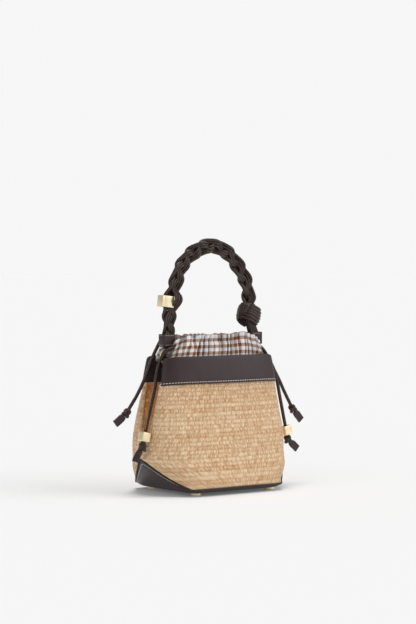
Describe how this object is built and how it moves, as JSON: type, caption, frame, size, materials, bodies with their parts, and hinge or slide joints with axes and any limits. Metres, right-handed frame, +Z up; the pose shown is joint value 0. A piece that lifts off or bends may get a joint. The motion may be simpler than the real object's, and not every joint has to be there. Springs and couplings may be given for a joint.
{
  "type": "bucket bag",
  "caption": "Woven raffia bucket bag on a leather base, with a leather band, a gathered drawstring collar and a braided handle that swings on rings.",
  "frame": {"origin": "bottom centre of the bag, on the plane of its feet", "axes": "+X along the bag towards its right end, +Y from the front wall to the back wall, +Z up"},
  "size_m": [0.2944, 0.1386, 0.3277],
  "materials": {
    "raffia": "woven natural raffia, matte with a faint straw sheen",
    "raffia_pleat": "woven natural raffia, darker inside the end pleats",
    "leather": "smooth dark brown leather, satin",
    "edge_leather": "painted black-brown leather edge",
    "cord_leather": "round dark brown leather cord, satin",
    "gingham_cloth": "brown and white gingham cotton, matte",
    "gold_metal": "pale gold plated metal, polished",
    "steel_washer": "plain washer",
    "board": "fibre stiffener board"
  },
  "bodies": {
    "bag": {"raffia_front": "raffia", "raffia_back": "raffia", "gusset_left": "raffia_pleat", "gusset_right": "raffia_pleat", "band_front": "leather", "band_back": "leather", "band_end_left": "leather", "band_end_right": "leather", "base_leather": "leather", "base_board": "board", "edge_binding": "edge_leather", "foot_front_left": "gold_metal", "foot_front_right": "gold_metal", "foot_back_left": "gold_metal", "foot_back_right": "gold_metal", "washer_front_left": "steel_washer", "washer_front_right": "steel_washer", "washer_back_left": "steel_washer", "washer_back_right": "steel_washer", "lining": "gingham_cloth", "collar": "gingham_cloth", "drawcord_run_left": "cord_leather", "drawcord_run_right": "cord_leather", "tab_left": "leather", "tab_right": "leather", "cord_tail_front_left": "cord_leather", "tail_knot_front_left": "cord_leather", "tail_tip_front_left": "cord_leather", "cord_tail_rear_left": "cord_leather", "tail_knot_rear_left": "cord_leather", "tail_tip_rear_left": "cord_leather", "cord_tail_front_right": "cord_leather", "tail_knot_front_right": "cord_leather", "tail_tip_front_right": "cord_leather", "cord_tail_rear_right": "cord_leather", "tail_knot_rear_right": "cord_leather", "tail_tip_rear_right": "cord_leather"},
    "rings": {"ring_left": "gold_metal", "ring_right": "gold_metal"},
    "handle": {"sleeve_left": "leather", "sleeve_right": "leather", "handle_strand_a": "cord_leather", "handle_strand_b": "cord_leather", "handle_strand_c": "cord_leather", "handle_knot": "cord_leather", "handle_leg_a": "cord_leather", "handle_leg_b": "cord_leather", "handle_leg_c": "cord_leather", "handle_bead": "gold_metal"},
    "bead_left": {"cord_bead_front_left": "gold_metal"},
    "bead_right": {"cord_bead_front_right": "gold_metal"}
  },
  "joints": [
    {"name": "ring_swing", "type": "hinge", "parent": "bag", "child": "rings", "pos_m": [0, 0, 0.1649], "axis": [1, 0, 0], "range_deg": [-30, 30], "deforming": ["cord_tail_front_left", "cord_tail_rear_left", "cord_tail_front_right", "cord_tail_rear_right"]},
    {"name": "handle_swing", "type": "hinge", "parent": "rings", "child": "handle", "pos_m": [0, 0, 0.1845], "axis": [1, 0, 0], "range_deg": [-35, 35]},
    {"name": "bead_slide_left", "type": "slide", "parent": "bag", "child": "bead_left", "axis": [0.237, 0.027, 0.9711], "range_m": [0, 0.016]},
    {"name": "bead_slide_right", "type": "slide", "parent": "bag", "child": "bead_right", "axis": [-0.2293, 0, 0.9734], "range_m": [0, 0.016]}
  ]
}
